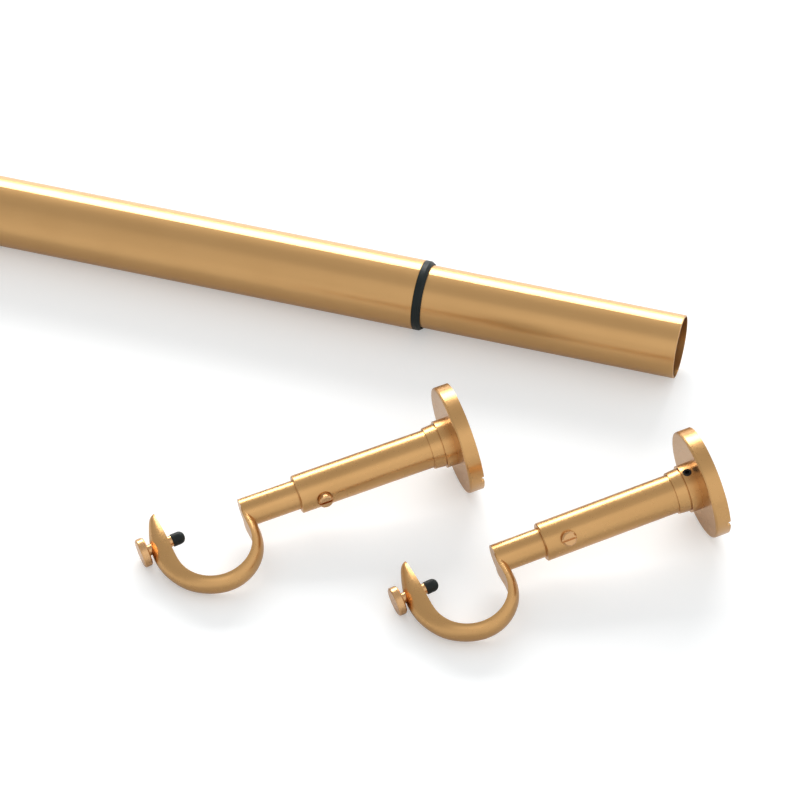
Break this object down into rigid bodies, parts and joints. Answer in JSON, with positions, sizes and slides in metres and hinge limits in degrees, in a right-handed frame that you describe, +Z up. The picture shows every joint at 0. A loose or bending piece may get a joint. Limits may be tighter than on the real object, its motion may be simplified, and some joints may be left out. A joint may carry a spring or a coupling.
{
  "type": "curtain rod",
  "caption": "Telescoping round curtain rod in a gold finish, with its adjustable hook brackets that have round wall flanges and rubber-tipped thumb screws.",
  "frame": {"origin": "middle of the whole layout's bounding box, on the surface it lies on", "axes": "+X along the rod towards the thinner tube's open end, +Z up from the surface, -Y the side where the brackets lie"},
  "size_m": [0.7922, 0.1606, 0.0393],
  "materials": {
    "rod_gold": "satin",
    "brass": "satin",
    "black_plastic": "matte",
    "black_steel": "satin",
    "steel": "zinc plated",
    "black_rubber": "matte"
  },
  "bodies": {
    "rod_and_posts": {"outer_tube": "rod_gold", "mouth_bush": "black_plastic", "wall_plate_1": "steel", "centre_screw_1": "steel", "post_plug_1": "steel", "post_tube_1": "rod_gold", "wall_plate_2": "steel", "centre_screw_2": "steel", "post_plug_2": "steel", "post_tube_2": "rod_gold"},
    "inner_rod": {"inner_tube": "rod_gold", "inner_glide": "black_plastic"},
    "cover_1": {"flange_cover_1": "rod_gold", "base_collar_1": "rod_gold"},
    "grub_1": {"grub_screw_1": "black_steel"},
    "lock_1": {"lock_screw_1": "rod_gold"},
    "hook_1": {"hook_arm_1": "rod_gold"},
    "tip_1": {"rubber_tip_1": "black_rubber"},
    "knob_1": {"thumb_screw_1": "brass"},
    "cover_2": {"flange_cover_2": "rod_gold", "base_collar_2": "rod_gold"},
    "grub_2": {"grub_screw_2": "black_steel"},
    "lock_2": {"lock_screw_2": "rod_gold"},
    "hook_2": {"hook_arm_2": "rod_gold"},
    "tip_2": {"rubber_tip_2": "black_rubber"},
    "knob_2": {"thumb_screw_2": "brass"}
  },
  "joints": [
    {"name": "rod_extension", "type": "slide", "parent": "rod_and_posts", "child": "inner_rod", "axis": [1, 0, 0], "range_m": [-0.085, 0.5]},
    {"name": "cover_slide_1", "type": "slide", "parent": "rod_and_posts", "child": "cover_1", "axis": [-0.8137, -0.5677, -0.1247], "range_m": [0, 0.036]},
    {"name": "grub_travel_1", "type": "slide", "parent": "cover_1", "child": "grub_1", "axis": [0.0171, 0.191, -0.9814], "range_m": [-0.00015, 0.001]},
    {"name": "lock_travel_1", "type": "slide", "parent": "rod_and_posts", "child": "lock_1", "axis": [0.5537, -0.8224, 0.1304], "range_m": [0, 0.0009]},
    {"name": "arm_slide_1", "type": "slide", "parent": "rod_and_posts", "child": "hook_1", "axis": [-0.8137, -0.5677, -0.1247], "range_m": [-0.0129, 0.0191]},
    {"name": "tip_travel_1", "type": "slide", "parent": "hook_1", "child": "tip_1", "axis": [0.7713, 0.6226, 0.1322], "range_m": [-0.0014, 0.0007]},
    {"name": "knob_turn_1", "type": "hinge", "parent": "tip_1", "child": "knob_1", "pos_m": [0.21047, -0.06403, 0.00637], "axis": [0.7713, 0.6226, 0.1322], "range_deg": [-721, 361]},
    {"name": "cover_slide_2", "type": "slide", "parent": "rod_and_posts", "child": "cover_2", "axis": [-0.8024, -0.583, -0.1279], "range_m": [0, 0.036]},
    {"name": "grub_travel_2", "type": "slide", "parent": "cover_2", "child": "grub_2", "axis": [-0.0873, -0.0974, 0.9914], "range_m": [-0.00015, 0.001]},
    {"name": "lock_travel_2", "type": "slide", "parent": "rod_and_posts", "child": "lock_2", "axis": [0.4115, -0.6956, 0.5889], "range_m": [0, 0.0009]},
    {"name": "arm_slide_2", "type": "slide", "parent": "rod_and_posts", "child": "hook_2", "axis": [-0.8024, -0.583, -0.1279], "range_m": [-0.01, 0.022]},
    {"name": "tip_travel_2", "type": "slide", "parent": "hook_2", "child": "tip_2", "axis": [0.7589, 0.637, 0.1356], "range_m": [-0.0014, 0.0007]},
    {"name": "knob_turn_2", "type": "hinge", "parent": "tip_2", "child": "knob_2", "pos_m": [0.29986, -0.06129, 0.00641], "axis": [0.7589, 0.637, 0.1356], "range_deg": [-721, 361]}
  ],
  "couplings": [
    {"joint": "knob_turn_1", "follows": "tip_travel_1", "rad_per_m": 8976},
    {"joint": "knob_turn_2", "follows": "tip_travel_2", "rad_per_m": 8976}
  ]
}
